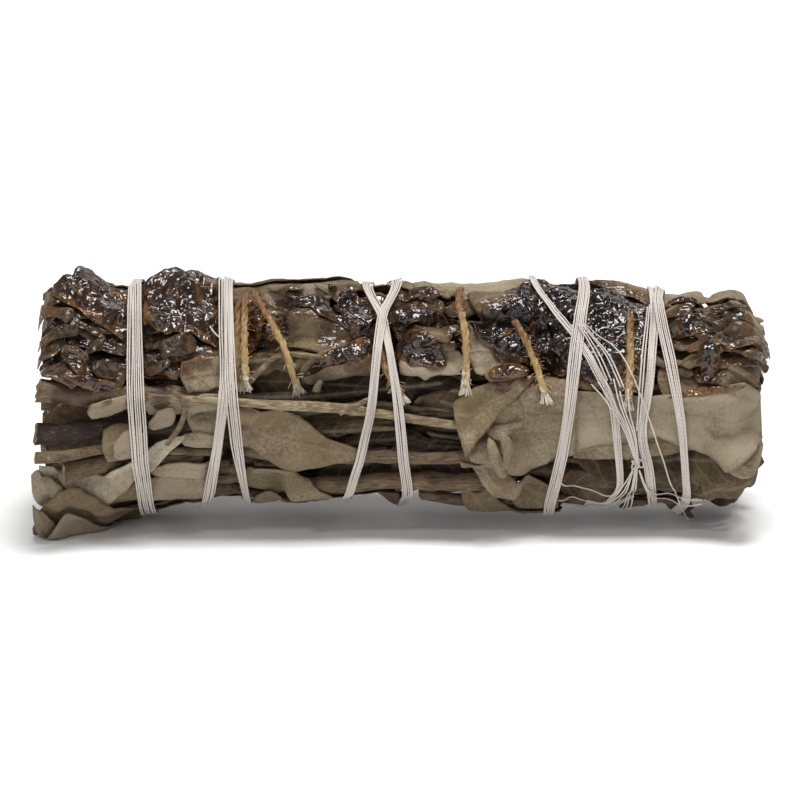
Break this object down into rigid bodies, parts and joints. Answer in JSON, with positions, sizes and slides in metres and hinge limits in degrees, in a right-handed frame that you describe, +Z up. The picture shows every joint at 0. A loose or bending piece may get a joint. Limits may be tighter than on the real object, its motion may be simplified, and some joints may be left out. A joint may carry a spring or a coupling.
{
  "type": "tied sage bunch",
  "caption": "Dried sage bunch: woody stems and grey leaves packed into a short cylinder, glazed with dark resin on top and bound with white cotton thread.",
  "frame": {"origin": "centre of the bounding box on the resting plane", "axes": "+X along the bunch to the end with the knot, -Y the pictured front, +Z up"},
  "size_m": [0.104, 0.0378, 0.0375],
  "materials": {
    "leaf": "dry velvety grey-beige leaf",
    "stem": "dry matt bark with pale cut ends",
    "resin": "glossy dark brown resin, amber where thin",
    "twine": "resin-soaked cotton twine with frayed white ends",
    "thread": "white cotton sewing thread, matt"
  },
  "bodies": {
    "root": {"stem_core_1": "stem", "stem_core_2": "stem", "stem_core_3": "stem", "stem_core_4": "stem", "stem_core_5": "stem", "stem_core_6": "stem", "sprig_1": "leaf", "sprig_2": "leaf", "sprig_3": "leaf", "sprig_4": "leaf", "sprig_5": "leaf", "sprig_6": "leaf", "sprig_7": "leaf", "sprig_8": "leaf", "sprig_9": "leaf", "stem_left_thick": "stem", "stem_left_dark": "stem", "stem_left_short": "stem", "stem_front_long": "stem", "stem_front_brown": "stem", "stem_front_low": "stem", "stem_right_end": "stem", "leaf_back_1": "leaf", "leaf_back_2": "leaf", "leaf_back_3": "leaf", "leaf_back_4": "leaf", "leaf_back_5": "leaf", "leaf_back_6": "leaf", "leaf_back_7": "leaf", "leaf_left_top": "leaf", "leaf_left_front": "leaf", "leaf_left_middle": "leaf", "leaf_middle_low": "leaf", "leaf_middle_smooth": "leaf", "leaf_left_curl": "leaf", "leaf_left_foot": "leaf", "leaf_top_left": "leaf", "leaf_top_middle": "leaf", "leaf_top_right": "leaf", "leaf_right_under": "leaf", "leaf_right_strip": "leaf", "leaf_right_foot": "leaf", "leaf_end_top": "leaf", "leaf_end_front": "leaf", "leaf_right_wrap": "leaf", "leaf_right_fold": "leaf", "leaf_right_collar": "leaf", "resin_left": "resin", "resin_middle": "resin", "resin_right": "resin", "resin_end": "resin", "twine_left": "twine", "twine_middle": "twine", "twine_centre": "twine", "twine_right_slant": "twine", "twine_right_upright": "twine", "tie_left": "thread", "tie_left_pair": "thread", "tie_middle_cross": "thread", "tie_right": "thread"}
  },
  "joints": []
}
